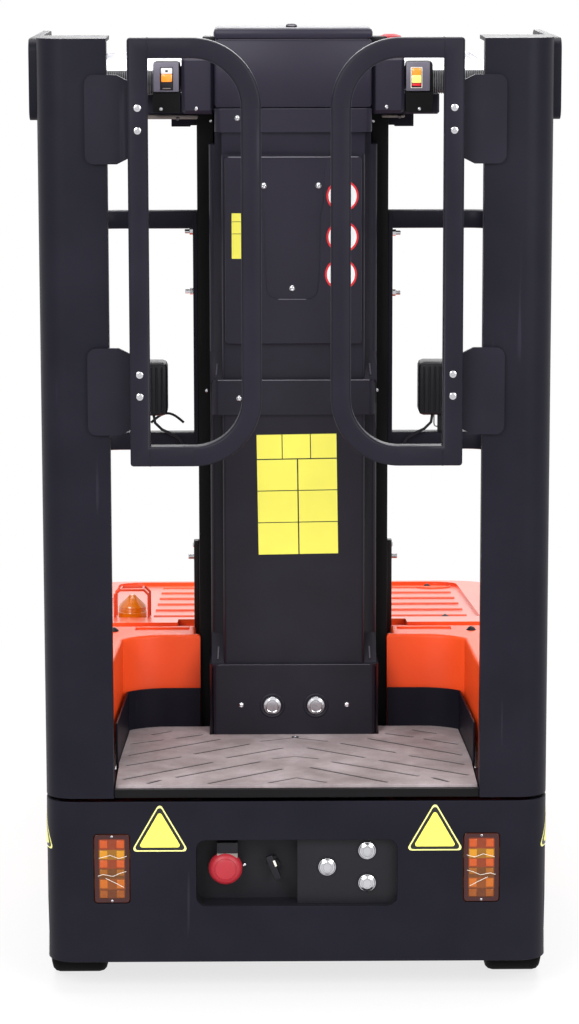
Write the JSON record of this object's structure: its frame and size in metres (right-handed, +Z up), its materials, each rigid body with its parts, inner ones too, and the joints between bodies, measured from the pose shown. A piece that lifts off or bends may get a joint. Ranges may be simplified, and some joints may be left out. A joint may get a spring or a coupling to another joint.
{
  "type": "low-level order picker",
  "caption": "Stand-on truck with a telescopic mast, lifting platform, guard rails, swing gates, control console, load tray, drive wheels and front casters.",
  "frame": {"origin": "on the floor, under the middle of the bounding box", "axes": "+Y forward, from the entrance gates to the hood; +X to the operator's right; +Z up"},
  "size_m": [0.775, 1.5, 1.4345],
  "materials": {
    "black_paint": "satin powder coat",
    "mast_steel": "satin paint over rolled steel",
    "black_plastic": "grained moulding",
    "orange_cover": "painted moulding",
    "guard_wire": "coated wire",
    "mat_rubber": "worn ribbed rubber",
    "tyre_rubber": "solid tyre",
    "bright_steel": "bright plated steel",
    "amber_lens": "clear amber lens",
    "red_plastic": "moulded",
    "tray_metal": "bright sheet"
  },
  "bodies": {
    "chassis": {"base_frame": "black_paint", "rear_skirt": "black_paint", "control_pocket": "black_plastic", "emergency_stop": "red_plastic", "amber_lamp_left": "amber_lens", "amber_lamp_right": "amber_lens", "hood": "orange_cover", "battery_block": "black_plastic", "side_cover_left": "orange_cover", "side_cover_right": "orange_cover", "drive_unit_left": "black_paint", "drive_unit_right": "black_paint", "mast_outer": "mast_steel", "lift_cylinder": "mast_steel", "beacon": "amber_lens", "beacon_guard": "guard_wire"},
    "drive_wheel_left": {"drive_wheel_left": "tyre_rubber"},
    "drive_wheel_right": {"drive_wheel_right": "tyre_rubber"},
    "caster_left": {"caster_fork_left": "bright_steel"},
    "caster_right": {"caster_fork_right": "bright_steel"},
    "caster_wheel_left": {"caster_wheel_left": "tyre_rubber"},
    "caster_wheel_right": {"caster_wheel_right": "tyre_rubber"},
    "mast_middle": {"mast_middle": "mast_steel", "lift_rod": "bright_steel"},
    "mast_inner": {"mast_inner": "mast_steel"},
    "platform": {"platform_floor": "black_paint", "floor_mat": "mat_rubber", "toe_board_left": "black_paint", "toe_board_right": "black_paint", "post_left": "black_paint", "post_right": "black_paint", "side_panel_left": "black_plastic", "side_panel_right": "black_plastic", "guard_rail_left": "black_paint", "guard_rail_right": "black_paint", "mast_cover": "black_paint", "cover_panel": "black_paint", "console": "black_paint", "console_stop": "red_plastic", "handle_left": "black_plastic", "handle_right": "black_plastic", "load_tray": "tray_metal", "tray_support": "tray_metal", "work_lamp_left": "black_plastic", "work_lamp_right": "black_plastic"},
    "gate_left": {"gate_left": "black_paint"},
    "gate_right": {"gate_right": "black_paint"}
  },
  "joints": [
    {"name": "drive_wheel_left_spin", "type": "hinge", "parent": "chassis", "child": "drive_wheel_left", "pos_m": [-0.331, -0.5872, 0.09], "axis": [1, 0, 0], "continuous": true},
    {"name": "drive_wheel_right_spin", "type": "hinge", "parent": "chassis", "child": "drive_wheel_right", "pos_m": [0.331, -0.5872, 0.09], "axis": [1, 0, 0], "continuous": true},
    {"name": "caster_left_swivel", "type": "hinge", "parent": "chassis", "child": "caster_left", "pos_m": [-0.257, 0.5708, 0.16], "axis": [0, 0, 1], "continuous": true},
    {"name": "caster_left_spin", "type": "hinge", "parent": "caster_left", "child": "caster_wheel_left", "pos_m": [-0.257, 0.5408, 0.065], "axis": [1, 0, 0], "continuous": true},
    {"name": "caster_right_swivel", "type": "hinge", "parent": "chassis", "child": "caster_right", "pos_m": [0.257, 0.5708, 0.16], "axis": [0, 0, 1], "continuous": true},
    {"name": "caster_right_spin", "type": "hinge", "parent": "caster_right", "child": "caster_wheel_right", "pos_m": [0.257, 0.5408, 0.065], "axis": [1, 0, 0], "continuous": true},
    {"name": "mast_lift", "type": "slide", "parent": "chassis", "child": "mast_middle", "axis": [0, 0, 1], "range_m": [0, 0.9]},
    {"name": "inner_lift", "type": "slide", "parent": "mast_middle", "child": "mast_inner", "axis": [0, 0, 1], "range_m": [0, 0.9]},
    {"name": "platform_lift", "type": "slide", "parent": "mast_inner", "child": "platform", "axis": [0, 0, 1], "range_m": [0, 0.9]},
    {"name": "gate_left_hinge", "type": "hinge", "parent": "platform", "child": "gate_left", "pos_m": [-0.2555, -0.7042, 1.31], "axis": [0, 0, 1], "range_deg": [0, 90], "stiffness_Nm_per_rad": 3},
    {"name": "gate_right_hinge", "type": "hinge", "parent": "platform", "child": "gate_right", "pos_m": [0.2555, -0.7042, 1.31], "axis": [0, 0, -1], "range_deg": [0, 90], "stiffness_Nm_per_rad": 3}
  ],
  "couplings": [
    {"joint": "mast_lift", "follows": "platform_lift", "ratio": 1},
    {"joint": "inner_lift", "follows": "platform_lift", "ratio": 1}
  ]
}
